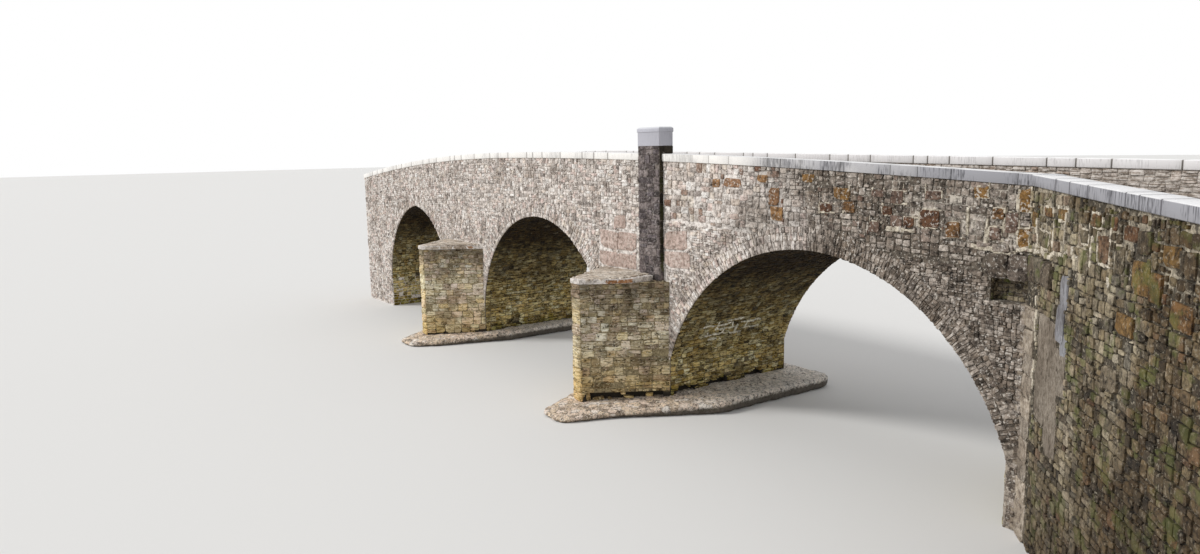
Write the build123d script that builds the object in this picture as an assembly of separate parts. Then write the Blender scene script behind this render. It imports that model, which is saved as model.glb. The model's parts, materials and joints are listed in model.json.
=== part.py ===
from build123d import *

import math
import os

# Three-arch rubble stone road bridge: pointed cutwaters upstream, one tall pilaster, splayed wing walls.
# Millimetres. X runs along the bridge to the right bank, -Y is upstream, +Z is up. The origin is on the bed,
# under the middle of the river pier that carries the pilaster, on the bridge's centre line. Z = 0 is the
# lowest level, where the aprons, abutments and wing walls stand.

# Plan of the bridge
bridge_width = 4700
pier_width = 3100
right_span = 10060
middle_span = 8340
left_span = 6640
left_approach_length = 3070
right_abutment_length = 2350
corner_setback = 240

# Heights above the bed, and above the top of the apron
apron_height = 350
springing_height = 1000
right_rise = 3600
middle_rise = 3740
left_rise = 3680
ring_depth = 550

# The line of the coping's top: a gentle hump with its crest over the middle arch. crown_cover is the filling
# between the highest ring of arch stones and the road.
crest_offset = 7500
crown_cover = 540
left_end_fall = 980
right_corner_fall = 550

# The downstream coping falls straight from the crest, by downstream_fall at the upstream corner, and runs
# further before its wing wall turns away.
downstream_fall = 373
downstream_corner_shift = 1050

# Walls on the arches
spandrel_thickness = 600
parapet_thickness = 340
parapet_height = 950
road_thickness = 200
end_wall_thickness = 500

# Coping stones, laid with open joints
coping_thickness = 205
coping_overhang = 50
coping_joint = 10
coping_stone_lengths = (1300, 650, 750, 1350, 420, 620, 1150)

# Cutwaters and their capping
near_cutwater_reach = 2150
far_cutwater_reach = 1900
cutwater_nose_width = 400
cutwater_height = 3270
capping_edge = 130
capping_rise = 50
capping_overhang = 40
# The near capping's stones past this place are gone.
near_capping_stop = 1000

# Aprons: how far each reaches past its pier, and how its top falls towards the nose for each unit upstream
near_apron_reach = 1500
near_apron_nose_reach = 3400
near_apron_nose_offset = 500
far_apron_reach = 800
far_apron_nose_reach = 2950
far_apron_nose_offset = 450
apron_back_reach = 150
apron_tail_reach = 600
apron_nose_width = 1100
apron_corner_radius = 450
apron_waist_offset = 1500
apron_waist_reach = 2050
apron_shoulder_setback = 650
apron_slope = 0.045
apron_slope_start = 1200

# Pilaster and its cap
pilaster_offset = 825
pilaster_width = 950
pilaster_projection = 130
pilaster_stand = 210
cap_block_height = 385
cap_block_overhang = 12
cap_slab_height = 140
cap_slab_overhang = 28
cap_weathering = 40

# Wing walls on the right bank
wing_angle = 45
wing_length = 6600
wing_fall = 190
wing_wall_thickness = 650

# Stones missing from the face beside the right-hand corner
recess_width = 720
recess_height = 440
recess_depth = 220
recess_sill = 4040

# Stones washed out along the foot of the near cutwater's right flank, and in three places along its pier
washed_start = 120
washed_length = 2230
washed_rise = 110
washed_depth = 180
pocket_starts = (-2100, -850, 620)
pocket_length = 680
pocket_height = 230
pocket_depth = 140

# Levels and places that follow from the sizes above
half_width = bridge_width / 2
half_pier = pier_width / 2
springing_level = apron_height + springing_height
parapet_drop = parapet_height + road_thickness
crown_level = springing_level + max(right_rise, middle_rise, left_rise) + ring_depth
crest_height = crown_level + crown_cover + parapet_drop
right_arch_x = half_pier + right_span / 2
middle_arch_x = -half_pier - middle_span / 2
far_pier_x = -pier_width - middle_span
left_arch_x = far_pier_x - half_pier - left_span / 2
left_abutment_x = left_arch_x - left_span / 2
left_end_x = left_abutment_x - left_approach_length
right_abutment_x = half_pier + right_span
corner_x = right_abutment_x + corner_setback
downstream_corner_x = corner_x + downstream_corner_shift
mitre_reach = wing_wall_thickness / math.sin(math.radians(wing_angle))
right_end_x = right_abutment_x + right_abutment_length
crest_x = -crest_offset
inner_face = half_width - spandrel_thickness
road_edge = half_width - parapet_thickness
far_reach = 4 * bridge_width
tall = 2 * crest_height


def coping_level(x):
    """Height of the coping's top at x: two arcs that meet level at the crest, and level past the corner."""
    x = min(x, corner_x)
    if x < crest_x:
        reach = crest_x - left_end_x
        fall = left_end_fall
    else:
        reach = corner_x - crest_x
        fall = right_corner_fall
    radius = (reach**2 + fall**2) / (2 * fall)
    return crest_height - radius + math.sqrt(radius**2 - (x - crest_x) ** 2)


def downstream_level(x):
    """Height of the downstream coping's top at x."""
    if x < crest_x:
        return coping_level(x)
    return crest_height - downstream_fall * (x - crest_x) / (corner_x - crest_x)


def level_line(x_start, x_end, drop, y, level=coping_level):
    """A coping's line between two places, lowered by drop."""
    stops = [x_start] + [x for x in (crest_x, corner_x) if x_start < x < x_end] + [x_end]
    edges = []
    for a, b in zip(stops, stops[1:]):
        middle = (a + b) / 2
        start = Vector(a, y, level(a) - drop)
        via = Vector(middle, y, level(middle) - drop)
        end = Vector(b, y, level(b) - drop)
        if via.Z - (start.Z + end.Z) / 2 < 0.000001:
            edges.append(Edge.make_line(start, end))
        else:
            edges.append(Edge.make_three_point_arc(start, via, end))
    return edges


def closed_face(edges):
    """A face inside edges that follow each other round."""
    return Face(Wire(edges))


def wall_under_line(x_start, x_end, bottom, drop, y_start, y_end):
    """A wall with a level foot, whose top follows the coping's line lowered by drop."""
    top = level_line(x_start, x_end, drop, y_start)
    low_start = Vector(x_start, y_start, bottom)
    low_end = Vector(x_end, y_start, bottom)
    sides = [
        Edge.make_line(low_start, top[0] @ 0),
        Edge.make_line(top[-1] @ 1, low_end),
        Edge.make_line(low_end, low_start),
    ]
    return extrude(closed_face(top + sides), amount=y_end - y_start, dir=(0, 1, 0))


def band_under_line(
    x_start, x_end, low_drop, high_drop, y_start, y_end, low_level=coping_level, level=coping_level
):
    """A band whose foot and top both follow a coping's line."""
    top = level_line(x_start, x_end, high_drop, y_start, level)
    foot = level_line(x_start, x_end, low_drop, y_start, low_level)
    sides = [Edge.make_line(foot[0] @ 0, top[0] @ 0), Edge.make_line(top[-1] @ 1, foot[-1] @ 1)]
    return extrude(closed_face(top + foot + sides), amount=y_end - y_start, dir=(0, 1, 0))


def round_arch_face(x, span, rise, growth, y):
    """Space under a segmental arch above its springing, grown outwards by growth."""
    radius = ((span / 2) ** 2 + rise**2) / (2 * rise)
    centre_z = springing_level + rise - radius
    outer = radius + growth
    half = math.sqrt(outer**2 - (springing_level - centre_z) ** 2)
    left = Vector(x - half, y, springing_level)
    right = Vector(x + half, y, springing_level)
    crown = Vector(x, y, centre_z + outer)
    return closed_face([Edge.make_three_point_arc(left, crown, right), Edge.make_line(right, left)])


def pointed_arch_face(x, span, rise, growth, y):
    """Space under a slightly pointed arch of two arcs, grown outwards by growth."""
    half = span / 2
    radius = (half**2 + rise**2) / (2 * half)
    offset = radius - half
    outer = radius + growth
    turn = math.acos(offset / outer)
    left = Vector(x - half - growth, y, springing_level)
    right = Vector(x + half + growth, y, springing_level)
    crown = Vector(x, y, springing_level + outer * math.sin(turn))
    across = outer * math.cos(turn / 2) - offset
    up = springing_level + outer * math.sin(turn / 2)
    left_arc = Edge.make_three_point_arc(left, Vector(x - across, y, up), crown)
    right_arc = Edge.make_three_point_arc(crown, Vector(x + across, y, up), right)
    return closed_face([left_arc, right_arc, Edge.make_line(right, left)])


arches = {
    "right": (round_arch_face, right_arch_x, right_span, right_rise),
    "middle": (round_arch_face, middle_arch_x, middle_span, middle_rise),
    "left": (pointed_arch_face, left_arch_x, left_span, left_rise),
}


def arch_space(name, growth, y_start, y_end):
    """The space under one arch as a solid across part of the bridge."""
    shape, x, span, rise = arches[name]
    return extrude(shape(x, span, rise, growth, y_start), amount=y_end - y_start, dir=(0, 1, 0))


def block(x_start, x_end, y_start, y_end, z_start, z_end):
    """A squared block between six planes."""
    low = Vector(x_start, y_start, z_start)
    return Box(x_end - x_start, y_end - y_start, z_end - z_start, align=(Align.MIN,) * 3).translate(low)


def vault(name):
    """The barrel of one arch: a ring of stones that runs right through the bridge."""
    outer = arch_space(name, ring_depth, -half_width, half_width)
    return outer - arch_space(name, 0, -half_width - ring_depth, half_width + ring_depth)


def spandrel(name, x_start, x_end, y_start):
    """Wall on one face over one arch, from the springing up to the foot of the parapet."""
    y_end = y_start + spandrel_thickness
    wall = wall_under_line(x_start, x_end, springing_level, parapet_drop, y_start, y_end)
    return wall - arch_space(name, ring_depth, y_start - ring_depth, y_end + ring_depth)


# The frame of the upstream wing wall: X along its face from the corner, Y back into the bank
wing_turn = math.radians(wing_angle)
wing_frame = Plane(
    origin=(corner_x, -half_width, 0),
    x_dir=(math.cos(wing_turn), -math.sin(wing_turn), 0),
    z_dir=(0, 0, 1),
)


def behind_wing(depth, corner=corner_x):
    """All that lies further than depth behind the face of a wing wall that starts at corner."""
    space = wing_frame * block(-far_reach, far_reach, depth, far_reach, -tall, tall)
    return space.translate(Vector(corner - corner_x, 0, 0))


def wing_piece(top_level, low_drop, high_drop, front, back, start, end, clear):
    """Part of a wing wall between two lines lowered from its coping, kept clear of the bridge's face."""

    def line_level(distance):
        return top_level - wing_fall * distance / wing_length

    foot_start = line_level(start) - low_drop if low_drop else 0
    foot_end = line_level(end) - low_drop if low_drop else 0
    corners = [
        (start, front, foot_start),
        (end, front, foot_end),
        (end, front, line_level(end) - high_drop),
        (start, front, line_level(start) - high_drop),
    ]
    side = Face(Wire.make_polygon([Vector(*corner) for corner in corners]))
    solid = wing_frame * extrude(side, amount=back - front, dir=(0, 1, 0))
    return solid - block(-far_reach, far_reach, -half_width - clear, far_reach, -tall, tall)


def coping_stops(start, end):
    """Where each coping stone of a run starts and ends: lengths in turn, and no stub at the end."""
    stops = []
    place = start
    count = 0
    while place < end:
        length = coping_stone_lengths[count % len(coping_stone_lengths)]
        reach = place + length
        if end - reach < min(coping_stone_lengths):
            reach = end
        stops.append((place, reach - (coping_joint if reach < end else 0)))
        place = reach
        count += 1
    return stops


def coping_run(x_start, x_end, corner=corner_x, level=coping_level):
    """Coping stones on a parapet between two places, cut back where the wing wall turns away."""
    front = -half_width - coping_overhang
    back = -road_edge + coping_overhang
    inner = behind_wing(parapet_thickness + coping_overhang, corner)
    stones = []
    for a, b in coping_stops(x_start, x_end):
        stone = band_under_line(a, b, coping_thickness, 0, front, back, level, level)
        stones.append(stone - inner if b > corner else stone)
    return stones


def parapet_run(x_start, x_end, corner=corner_x, level=coping_level):
    """Parapet wall on a spandrel wall, cut back where the wing wall turns away."""
    wall = band_under_line(
        x_start, x_end, parapet_drop, coping_thickness, -half_width, -road_edge, coping_level, level
    )
    return wall - behind_wing(parapet_thickness, corner)


def road_corner(corner):
    """The roadway's widening behind the turned end of a parapet."""
    strip = band_under_line(corner, right_end_x, parapet_drop, parapet_height, -half_width, -road_edge)
    return strip & behind_wing(parapet_thickness, corner)


def cutwater_corners(x, reach, overhang, z):
    """Corners of a cutwater in plan: a blunt nose upstream, and its back on the bridge's face."""
    nose = cutwater_nose_width / 2
    run = half_pier - nose
    half_back = half_pier + overhang * math.hypot(run, reach) / reach
    half_nose = nose + (half_back - half_pier) - overhang * run / reach
    front = -half_width - reach - overhang
    return [
        Vector(x - half_back, -half_width, z),
        Vector(x - half_nose, front, z),
        Vector(x + half_nose, front, z),
        Vector(x + half_back, -half_width, z),
    ]


def cutwater(x, reach):
    """Pointed cutwater of one pier, down through the place of its apron."""
    outline = Face(Wire.make_polygon(cutwater_corners(x, reach, 0, 0)))
    return extrude(outline, amount=apron_height + cutwater_height, dir=(0, 0, 1))


def capping(x, reach):
    """Capping stones on a cutwater, with a square edge and a top that rises a little to the bridge's face."""
    foot = apron_height + cutwater_height
    edge = foot + capping_edge
    slab_outline = Face(Wire.make_polygon(cutwater_corners(x, reach, capping_overhang, foot)))
    slab = extrude(slab_outline, amount=capping_edge, dir=(0, 0, 1))
    corners = cutwater_corners(x, reach, capping_overhang, edge)
    apex = Vector(x, -half_width, edge + capping_rise)
    faces = [Face(Wire.make_polygon(corners))]
    for start, end in zip(corners, corners[1:] + corners[:1]):
        faces.append(Face(Wire.make_polygon([start, end, apex])))
    return slab + Solid(Shell(faces))


def above_apron_slope():
    """All that lies above the sloped upstream part of the aprons' top."""
    foot = apron_height - apron_slope * (far_reach - apron_slope_start)
    start = -apron_slope_start
    corners = [(start, apron_height), (-far_reach, foot), (-far_reach, tall), (start, tall)]
    side = Face(Wire.make_polygon([Vector(-far_reach, y, z) for y, z in corners]))
    return extrude(side, amount=2 * far_reach, dir=(1, 0, 0))


def apron(x, reach, nose_reach, nose_offset):
    """Low boat-shaped slab round the foot of a pier, drawn out upstream on the right bank's side."""
    tail = half_width + apron_tail_reach
    left = x - half_pier - apron_back_reach
    right = x + half_pier + reach
    nose = -half_width - nose_reach
    nose_x = x + nose_offset
    corners = [
        (left, tail),
        (left, -half_width),
        (nose_x - apron_nose_width / 2, nose),
        (nose_x + apron_nose_width / 2, nose),
        (x + apron_waist_offset, -half_width - apron_waist_reach),
        (right, -half_width + apron_shoulder_setback),
        (right, tail),
    ]
    outline = Face(Wire.make_polygon([Vector(a, b, 0) for a, b in corners]))
    outline = fillet(outline.vertices(), apron_corner_radius)
    return extrude(outline, amount=apron_height, dir=(0, 0, 1)) - above_apron_slope()


def pier(x):
    """Squared shaft of a river pier up to the springing, down through the place of its apron."""
    return block(x - half_pier, x + half_pier, -half_width, half_width, 0, springing_level)


def pilaster():
    """Squared shaft that rises from the cutwater up the face and through the parapet."""
    foot = apron_height + cutwater_height
    front = -half_width - pilaster_projection
    shaft = block(pilaster_left, pilaster_right, front, -road_edge, foot, pilaster_top)
    return shaft - wall_under_line(pilaster_left, pilaster_right, foot, parapet_drop, -half_width, -road_edge)


def pilaster_cap():
    """Dressed cap block with a wider slab on it, sloped at the top to shed water."""
    width = pilaster_width + 2 * cap_block_overhang
    depth = pilaster_projection + parapet_thickness + 2 * cap_block_overhang
    extra = 2 * (cap_slab_overhang - cap_block_overhang)
    middle_y = (-half_width - pilaster_projection - road_edge) / 2
    place = Vector(pilaster_offset, middle_y, pilaster_top)
    bottom = (Align.CENTER, Align.CENTER, Align.MIN)
    body = Box(width, depth, cap_block_height, align=bottom)
    slab = Box(width + extra, depth + extra, cap_slab_height, align=bottom)
    slab = chamfer(slab.faces().sort_by(Axis.Z)[-1].edges(), cap_weathering)
    return (body + slab.translate(Vector(0, 0, cap_block_height))).translate(place)


def core_wall(x_start, x_end):
    """Mass between the two spandrel walls, from the springing up to the road."""
    return wall_under_line(x_start, x_end, springing_level, parapet_drop, -inner_face, inner_face)


def downstream(shape):
    """The same shape on the other face of the bridge."""
    return mirror(shape, about=Plane.XZ)


def missing_stones():
    """The hollow left by stones gone from the face beside the corner."""
    x_end = corner_x
    y_end = -half_width + recess_depth
    sill = apron_height + recess_sill
    return block(x_end - recess_width, x_end, -half_width - recess_depth, y_end, sill, sill + recess_height)


def washed_foot():
    """The hollow along the foot of the near cutwater's right flank, down to the apron."""
    nose = cutwater_nose_width / 2
    flank = Plane(
        origin=(nose, -half_width - near_cutwater_reach, 0),
        x_dir=(half_pier - nose, near_cutwater_reach, 0),
        z_dir=(0, 0, 1),
    )
    washed_end = washed_start + washed_length
    return flank * block(washed_start, washed_end, -washed_depth, washed_depth, 0, apron_height + washed_rise)


def washed_pockets():
    """Hollows left by stones gone from the foot of the near pier's right side."""
    pockets = []
    for y in pocket_starts:
        x = half_pier - pocket_depth
        pocket = block(x, half_pier + pocket_depth, y, y + pocket_length, 0, apron_height + pocket_height)
        pockets.append(pocket)
    return pockets


pilaster_top = coping_level(pilaster_offset) + pilaster_stand
pilaster_left = pilaster_offset - pilaster_width / 2
pilaster_right = pilaster_offset + pilaster_width / 2

parts = {}

# Aprons, piers and abutments
parts["near_apron"] = apron(0, near_apron_reach, near_apron_nose_reach, near_apron_nose_offset)
parts["far_apron"] = apron(far_pier_x, far_apron_reach, far_apron_nose_reach, far_apron_nose_offset)
parts["near_pier"] = pier(0) - washed_pockets() - parts["near_apron"]
parts["far_pier"] = pier(far_pier_x) - parts["far_apron"]
left_foot = block(left_end_x, left_abutment_x, -half_width, half_width, 0, springing_level)
left_wall_end = left_end_x + end_wall_thickness
left_back = core_wall(left_end_x, left_wall_end)
parts["left_abutment"] = left_foot + left_back
right_foot = block(right_abutment_x, right_end_x, -half_width, half_width, 0, springing_level)
right_wall_start = right_end_x - end_wall_thickness
right_back = core_wall(right_wall_start, right_end_x)
parts["right_abutment"] = right_foot + right_back - arch_space("right", ring_depth, -half_width, half_width)

# Vaults and the spandrel walls over them
wall_stops = {"right": (0, right_end_x), "middle": (far_pier_x, 0), "left": (left_end_x, far_pier_x)}
for side, (x_from, x_to) in wall_stops.items():
    parts[side + "_vault"] = vault(side)
    parts["upstream_spandrel_" + side] = spandrel(side, x_from, x_to, -half_width)
    parts["downstream_spandrel_" + side] = spandrel(side, x_from, x_to, inner_face)
parts["upstream_spandrel_right"] -= missing_stones()

# Rubble filling between the spandrel walls, closed at both ends by the abutments
filling = core_wall(left_wall_end, right_wall_start)
for side in wall_stops:
    filling -= arch_space(side, ring_depth, -half_width, half_width)
parts["rubble_filling"] = filling

# Roadway, widened behind the turned ends of the parapets
road = band_under_line(left_end_x, right_end_x, parapet_drop, parapet_height, -road_edge, road_edge)
parts["roadway"] = road + road_corner(corner_x) + downstream(road_corner(downstream_corner_x))

# Cutwaters, capping, pilaster and cap
parts["near_cutwater"] = cutwater(0, near_cutwater_reach) - washed_foot() - parts["near_apron"]
parts["far_cutwater"] = cutwater(far_pier_x, far_cutwater_reach) - parts["far_apron"]
near_capping = capping(0, near_cutwater_reach)
near_capping -= block(pilaster_left, pilaster_right, -half_width - pilaster_projection, -half_width, 0, tall)
near_capping -= block(near_capping_stop, far_reach, -far_reach, -half_width, 0, tall)
parts["near_capping"] = near_capping
parts["far_capping"] = capping(far_pier_x, far_cutwater_reach)
parts["pilaster"] = pilaster()
parts["pilaster_cap"] = pilaster_cap()

# Parapets and their coping stones
parts["upstream_parapet_left"] = parapet_run(left_end_x, pilaster_left)
parts["upstream_parapet_right"] = parapet_run(pilaster_right, corner_x + mitre_reach)
parts["downstream_parapet"] = downstream(
    parapet_run(left_end_x, downstream_corner_x + mitre_reach, downstream_corner_x, downstream_level)
)
parts["upstream_coping_left"] = coping_run(left_end_x, pilaster_left)
parts["upstream_coping_right"] = coping_run(pilaster_right, corner_x + mitre_reach)
far_run = coping_run(left_end_x, downstream_corner_x + mitre_reach, downstream_corner_x, downstream_level)
parts["downstream_coping"] = [downstream(stone) for stone in far_run]

# Wing walls of the right bank, which end in line with each other
def wing(corner, length, top_level):
    """A wing wall, its parapet and its coping stones, all as on the upstream side."""
    place = Vector(corner - corner_x, 0, 0)
    wall = wing_piece(top_level, 0, parapet_drop, 0, wing_wall_thickness, 0, length, 0)
    parapet = wing_piece(top_level, parapet_drop, coping_thickness, 0, parapet_thickness, 0, length, 0)
    back = parapet_thickness + coping_overhang
    clear = coping_overhang + coping_joint
    stones = []
    for a, b in coping_stops(0, length):
        stone = wing_piece(top_level, coping_thickness, 0, -coping_overhang, back, a, b, clear)
        stones.append(stone.translate(place))
    return wall.translate(place), parapet.translate(place), stones


upstream_pieces = wing(corner_x, wing_length, coping_level(corner_x))
parts["upstream_wing_wall"], parts["upstream_wing_parapet"], parts["upstream_wing_coping"] = upstream_pieces
short_length = wing_length - downstream_corner_shift / math.cos(wing_turn)
short_wall, short_parapet, short_coping = wing(
    downstream_corner_x, short_length, downstream_level(downstream_corner_x)
)
parts["downstream_wing_wall"] = downstream(short_wall)
parts["downstream_wing_parapet"] = downstream(short_parapet)
parts["downstream_wing_coping"] = [downstream(stone) for stone in short_coping]

os.makedirs("parts", exist_ok=True)
for name, shape in parts.items():
    pieces = shape if isinstance(shape, list) else [shape]
    solids = [solid for piece in pieces for solid in piece.solids()]
    export_step(solids[0] if len(solids) == 1 else Compound(children=solids), f"parts/{name}.step")
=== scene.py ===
import json
import math
import random

import bmesh
import bpy
from mathutils import Matrix, Vector

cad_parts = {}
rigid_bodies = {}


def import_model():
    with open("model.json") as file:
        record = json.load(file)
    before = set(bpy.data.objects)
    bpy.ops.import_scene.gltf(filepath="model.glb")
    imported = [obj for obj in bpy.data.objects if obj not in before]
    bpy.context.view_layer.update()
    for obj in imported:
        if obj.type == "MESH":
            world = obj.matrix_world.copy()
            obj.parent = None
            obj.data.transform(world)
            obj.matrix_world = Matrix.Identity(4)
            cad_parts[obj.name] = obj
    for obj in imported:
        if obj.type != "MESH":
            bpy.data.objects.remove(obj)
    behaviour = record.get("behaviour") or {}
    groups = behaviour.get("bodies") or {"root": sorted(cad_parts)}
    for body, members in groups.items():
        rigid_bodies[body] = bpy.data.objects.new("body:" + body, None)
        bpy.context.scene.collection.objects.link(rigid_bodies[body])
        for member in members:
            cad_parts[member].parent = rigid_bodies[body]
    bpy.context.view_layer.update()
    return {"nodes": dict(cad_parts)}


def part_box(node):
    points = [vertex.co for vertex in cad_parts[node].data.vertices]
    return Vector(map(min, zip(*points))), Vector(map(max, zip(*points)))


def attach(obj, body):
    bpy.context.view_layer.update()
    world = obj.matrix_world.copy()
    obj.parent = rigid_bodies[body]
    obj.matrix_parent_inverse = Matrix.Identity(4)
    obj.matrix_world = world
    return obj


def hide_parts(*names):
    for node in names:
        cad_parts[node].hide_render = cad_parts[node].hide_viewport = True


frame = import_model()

random.seed(7)

# Sizes in metres, most of them from the CAD nodes
pier_low, pier_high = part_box("near_pier")
far_low, far_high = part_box("far_pier")
left_low, left_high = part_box("left_abutment")
right_low, right_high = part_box("right_abutment")
half_pier = pier_high[0]
half_width = pier_high[1]
springing = pier_high[2]
far_pier_x = (far_low[0] + far_high[0]) / 2
left_end_x, left_abutment_x = left_low[0], left_high[0]
right_abutment_x, right_end_x = right_low[0], right_high[0]
jamb = 0.24
corner_x = right_abutment_x + jamb
other_corner_shift = 1.05
other_corner_x = corner_x + other_corner_shift
apron_top = 0.35
apron_slope, apron_slope_start = 0.045, 1.2

ring_depth = 0.55
parapet_thickness = 0.34
parapet_height = 0.95
road_thickness = 0.20
coping_thickness = 0.205
parapet_y = half_width - parapet_thickness

crest_x = -7.5
crest_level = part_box("upstream_coping_left")[1][2]
left_end_fall, right_corner_fall, other_corner_fall = 0.98, 0.55, 0.373

wing_length, wing_fall, wing_wall_thickness = 6.6, 0.19, 0.65
wing_turn = math.radians(45)
wing_direction = Vector((math.cos(wing_turn), -math.sin(wing_turn), 0))
other_wing_direction = Vector((wing_direction.x, -wing_direction.y, 0))

near_cutwater_reach = pier_low[1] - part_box("near_cutwater")[0][1]
far_cutwater_reach = far_low[1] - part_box("far_cutwater")[0][1]
cutwater_nose = 0.20
cutwater_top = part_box("near_cutwater")[1][2]
capping_edge = 0.13
capping_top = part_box("near_capping")[1][2]

pilaster_low, pilaster_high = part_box("pilaster")
pilaster_x = (pilaster_low[0] + pilaster_high[0]) / 2
capping_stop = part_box("near_capping")[1][0]
# Two corners of the recess in the upstream face, along and up
recess_low, recess_high = (corner_x - 0.72, 4.39), (corner_x, 4.83)
recess_depth = 0.22

UP = Vector((0, 0, 1))


def coping_level(x):
    """Height of the coping's top: two arcs that meet level at the crest, and level past the corner."""
    x = min(x, corner_x)
    reach, fall = corner_x - crest_x, right_corner_fall
    if x < crest_x:
        reach, fall = crest_x - left_end_x, left_end_fall
    radius = (reach**2 + fall**2) / (2 * fall)
    return crest_level - radius + math.sqrt(radius**2 - (x - crest_x) ** 2)


def other_level(x):
    """Height of the downstream coping's top, which falls straight from the crest."""
    if x < crest_x:
        return coping_level(x)
    return crest_level - other_corner_fall * (x - crest_x) / (corner_x - crest_x)


def apron_level(y):
    """Height of an apron's top, which falls towards its nose."""
    return apron_top - apron_slope * max(0, -y - apron_slope_start)


def arch_arcs(low_x, high_x, crown, pointed):
    """Arcs of an arch's underside from left to right: centre x, centre z, radius, first and last angle."""
    middle, half, rise = (low_x + high_x) / 2, (high_x - low_x) / 2, crown - springing
    if pointed:
        radius = (half**2 + rise**2) / (2 * half)
        offset = radius - half
        lean = math.asin(offset / radius)
        up = math.pi / 2
        return [
            (middle + offset, springing, radius, math.pi, up + lean),
            (middle - offset, springing, radius, up - lean, 0),
        ]
    radius = (half**2 + rise**2) / (2 * rise)
    turn = math.asin(half / radius)
    if rise > radius:
        turn = math.pi - turn
    return [(middle, crown - radius, radius, math.pi / 2 + turn, math.pi / 2 - turn)]


arches = {}
for side, low_x, high_x, pointed in (
    ("right", half_pier, right_abutment_x, False),
    ("middle", far_pier_x + half_pier, -half_pier, False),
    ("left", left_abutment_x, far_pier_x - half_pier, True),
):
    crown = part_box(side + "_vault")[1][2] - ring_depth
    arches[side] = (low_x, high_x, arch_arcs(low_x, high_x, crown, pointed))


def in_arch(x, z, growth):
    """True inside the opening of an arch, grown outwards by growth."""
    for low_x, high_x, arcs in arches.values():
        if z < springing:
            if low_x < x < high_x:
                return True
        elif all(math.hypot(x - cx, z - cz) < radius + growth for cx, cz, radius, _, _ in arcs):
            return True
    return False


# Materials. Colours are mixed by blending or by multiplying. A Mix node takes its factor at input 0 and its
# colours at 6 and 7. A MapRange node takes its range at 1 and 2, and gives 0 to 1 or what inputs 3 and 4 say.
blended = {"data_type": "RGBA"}
multiplied = {"data_type": "RGBA", "blend_type": "MULTIPLY"}


def linear(code):
    """An sRGB hex colour as linear RGBA."""
    parts = [int(code[i : i + 2], 16) / 255 for i in (1, 3, 5)]
    return [c / 12.92 if c <= 0.04045 else ((c + 0.055) / 1.055) ** 2.4 for c in parts] + [1.0]


def connect(tree, node, inputs):
    """Gives a node its inputs: each a value, a hex colour, a socket, or a node for its first output."""
    for key, value in inputs.items():
        if isinstance(value, bpy.types.Node):
            value = next(output for output in value.outputs if output.enabled)
        if isinstance(value, bpy.types.NodeSocket):
            tree.links.new(value, node.inputs[key])
        else:
            is_colour = isinstance(value, str) and value.startswith("#")
            node.inputs[key].default_value = linear(value) if is_colour else value


def add(tree, kind, inputs=None, stops=None, **settings):
    """Adds a node with its settings, its inputs and the stops of its colour ramp."""
    new = tree.nodes.new(kind if "Node" in kind else "ShaderNode" + kind)
    for key, value in settings.items():
        setattr(new, key, value)
    connect(tree, new, inputs or {})
    if stops:
        ramp = new.color_ramp
        while len(ramp.elements) < len(stops):
            ramp.elements.new(0.5)
        for element, (place, code) in zip(ramp.elements, stops):
            element.position = place
            element.color = linear(code)
    return new


def start_material(name):
    """A new material, its node tree and its Object coordinates."""
    material = bpy.data.materials.new(name)
    material.use_nodes = True
    tree = material.node_tree
    place = add(tree, "TexCoord").outputs["Object"]
    return material, tree, place


def spread(codes):
    """Colours spread evenly over a ramp."""
    return [(i / max(1, len(codes) - 1), code) for i, code in enumerate(codes)]


def tint(tree, colour, code, pattern, start, stop, most=1.0, mixing=blended):
    """Lays a colour over another where a pattern runs from start to stop, up to a share of most."""
    share = add(tree, "MapRange", {0: pattern, 1: start, 2: stop, 4: most})
    return add(tree, "Mix", {0: share, 6: colour, 7: code}, **mixing)


def wander(tree, coordinate, pattern, reach):
    """A coordinate that wanders with a pattern over a whole width of reach."""
    drift = add(tree, "Math", {0: pattern, 1: reach, 2: -reach / 2}, operation="MULTIPLY_ADD")
    return add(tree, "Math", {0: coordinate, 1: drift}, operation="ADD")


def finish_material(material, colour, roughness, height, relief, strength=1.0, shine=0.5):
    """Gives a material its colour, its roughness and the relief of a pattern, in metres."""
    tree = material.node_tree
    bump = add(tree, "Bump", {"Height": height, "Distance": relief, "Strength": strength})
    look = {"Base Color": colour, "Roughness": roughness, "Specular IOR Level": shine, "Normal": bump}
    connect(tree, tree.nodes["Principled BSDF"], look)
    return material


def weather(tree, place, colour, dark, lime, most, grain=(1.0, 1.0, 1.0), onset=(0.56, 0.38)):
    """Ragged hollows of 20 to 120 mm, painted dark as the shade that falls in them, and pale spots of lime of
    about
    25 mm. Stones and mortar share them, as they have weathered together. grain draws them out along the
    stone's beds, and onset is how sharply they begin. Gives the new colour and the hollows' pattern."""
    place = add(tree, "Mapping", {"Vector": place, "Scale": grain})
    hollows = add(tree, "TexNoise", {"Vector": place, "Scale": 8.0, "Detail": 11.0, "Roughness": 0.8})
    # Painted shade: the hollows are darkened by multiplying in the dark colour
    colour = tint(tree, colour, dark, hollows, *onset, mixing=multiplied)
    spots = add(tree, "TexNoise", {"Vector": place, "Scale": 17.0, "Detail": 7.0, "Roughness": 0.65})
    return tint(tree, colour, lime, spots, 0.55, 0.62, most), hollows


def along_bridge(tree, place, change):
    """0 at the far end of the bridge and 1 at the near end, with a ragged change between, and the axes."""
    axes = add(tree, "SeparateXYZ", {0: place}).outputs
    broad = add(tree, "TexNoise", {"Vector": place, "Scale": 0.7, "Detail": 3.0})
    return add(tree, "MapRange", {0: wander(tree, axes[0], broad, 8.0), 1: change[0], 2: change[1]}), axes


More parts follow.
